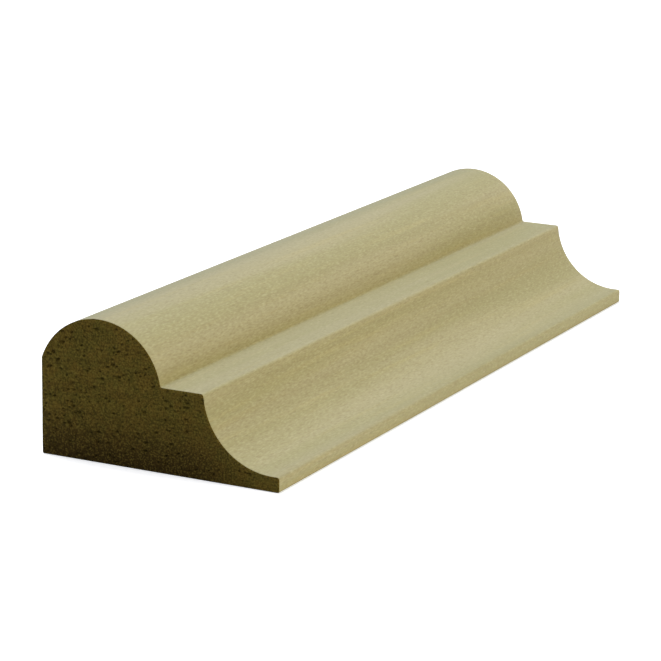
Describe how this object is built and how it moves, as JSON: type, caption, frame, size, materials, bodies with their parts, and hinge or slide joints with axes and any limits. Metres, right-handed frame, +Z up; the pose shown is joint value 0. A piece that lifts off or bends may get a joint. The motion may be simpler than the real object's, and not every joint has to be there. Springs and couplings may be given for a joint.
{
  "type": "panel moulding",
  "caption": "Short square-cut length of wooden panel moulding: a round bead beside a flat fillet, and a cove running out to a thin lip, on a flat back.",
  "frame": {"origin": "middle of the flat back, on the surface that the moulding lies on", "axes": "+Z up from the back to the crown of the bead, +X across the section from the bead to the thin lip, +Y along the length from the near cut end to the far one"},
  "size_m": [0.035, 0.1164, 0.019],
  "materials": {
    "poplar": "planed and sanded bare poplar, greenish tan, matt, with darker olive-brown sawn end grain"
  },
  "bodies": {
    "root": {"moulding": "poplar"}
  },
  "joints": []
}
